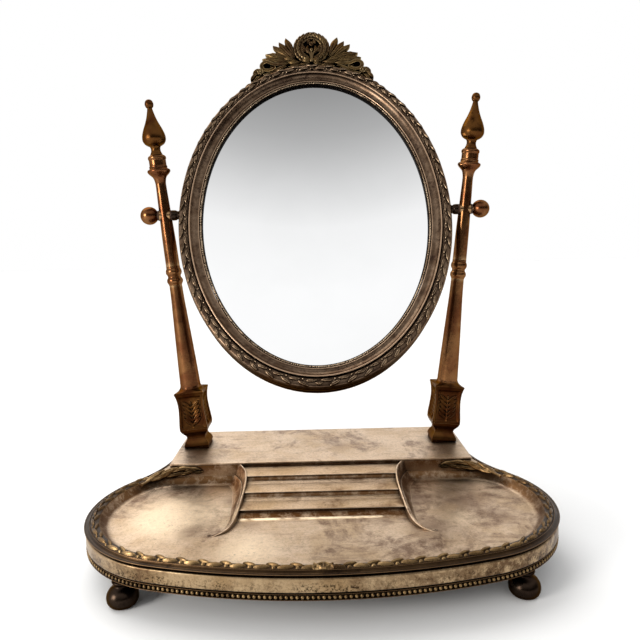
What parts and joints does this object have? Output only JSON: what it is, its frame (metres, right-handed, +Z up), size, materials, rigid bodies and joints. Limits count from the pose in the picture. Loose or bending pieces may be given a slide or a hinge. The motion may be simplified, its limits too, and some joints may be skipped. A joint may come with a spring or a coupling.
{
  "type": "dressing table swing mirror",
  "caption": "Oval framed mirror with a wreath crest, swinging between two turned leaning posts on a rounded tray base with steps, dished wells and bun feet.",
  "frame": {"origin": "middle of the bounding box in X and Y with the mirror tilted back as at rest, at the level of the bottom of the feet", "axes": "+X to the right as seen by a person in front, +Y to the back, +Z up; the part is symmetric about the plane X = 0"},
  "size_m": [0.4164, 0.362, 0.5268],
  "materials": {
    "silver_plate": "worn silver plate over brass, tarnished and mottled",
    "frame_plate": "worn silver plate over brass, brown-grey tarnish with bright worn edges",
    "bronze": "turned brass with a copper-brown patina, satin",
    "dark_bronze": "nearly black bronze patina, satin",
    "ornament": "cast brass, antique dark patina with rubbed high spots",
    "steel": "dull turned steel",
    "mirror_glass": "silvered flat glass",
    "card": "aged card",
    "board": "dark stained thin wood",
    "fibre": "dark leather discs"
  },
  "bodies": {
    "base": {"floor_plate": "silver_plate", "tray_border": "silver_plate", "platform": "silver_plate", "steps": "silver_plate", "rim_moulding": "silver_plate", "side_band": "silver_plate", "bead_border": "silver_plate", "rim_leaf_band": "silver_plate", "shoulder_leaf_left": "silver_plate", "shoulder_leaf_right": "silver_plate", "foot_front_left": "dark_bronze", "foot_front_right": "dark_bronze", "foot_rear_left": "dark_bronze", "foot_rear_right": "dark_bronze", "foot_screw_front_left": "steel", "foot_screw_front_right": "steel", "foot_screw_rear_left": "steel", "foot_screw_rear_right": "steel", "post_socket_left": "bronze", "post_lower_left": "bronze", "post_collar_left": "bronze", "post_upper_left": "bronze", "post_finial_left": "bronze", "post_socket_right": "bronze", "post_lower_right": "bronze", "post_collar_right": "bronze", "post_upper_right": "bronze", "post_finial_right": "bronze", "post_rod_left": "steel", "post_rod_right": "steel", "post_nut_left": "steel", "post_nut_right": "steel", "post_washer_left": "steel", "post_washer_right": "steel", "inner_washer_left": "fibre", "inner_washer_right": "fibre", "outer_washer_left": "fibre", "outer_washer_right": "fibre"},
    "mirror": {"mirror_frame": "frame_plate", "sight_bezel": "frame_plate", "mirror_glass": "mirror_glass", "glass_packing": "card", "back_board": "board", "back_screw_1": "steel", "back_screw_2": "steel", "back_screw_3": "steel", "back_screw_4": "steel", "back_screw_5": "steel", "back_screw_6": "steel", "crest_ornament": "ornament", "crest_screw_left": "steel", "crest_screw_right": "steel", "pivot_boss_left": "bronze", "pivot_boss_right": "bronze"},
    "knob_left": {"pivot_screw_left": "steel", "pivot_knob_left": "bronze"},
    "knob_right": {"pivot_screw_right": "steel", "pivot_knob_right": "bronze"}
  },
  "joints": [
    {"name": "mirror_tilt", "type": "hinge", "parent": "base", "child": "mirror", "pos_m": [0, 0.06461, 0.3106], "axis": [1, 0, 0], "continuous": true},
    {"name": "knob_left_turn", "type": "hinge", "parent": "mirror", "child": "knob_left", "pos_m": [-0.17, 0.06461, 0.3106], "axis": [1, 0, 0], "range_deg": [-180, 180]},
    {"name": "knob_right_turn", "type": "hinge", "parent": "mirror", "child": "knob_right", "pos_m": [0.17, 0.06461, 0.3106], "axis": [1, 0, 0], "range_deg": [-180, 180]}
  ]
}
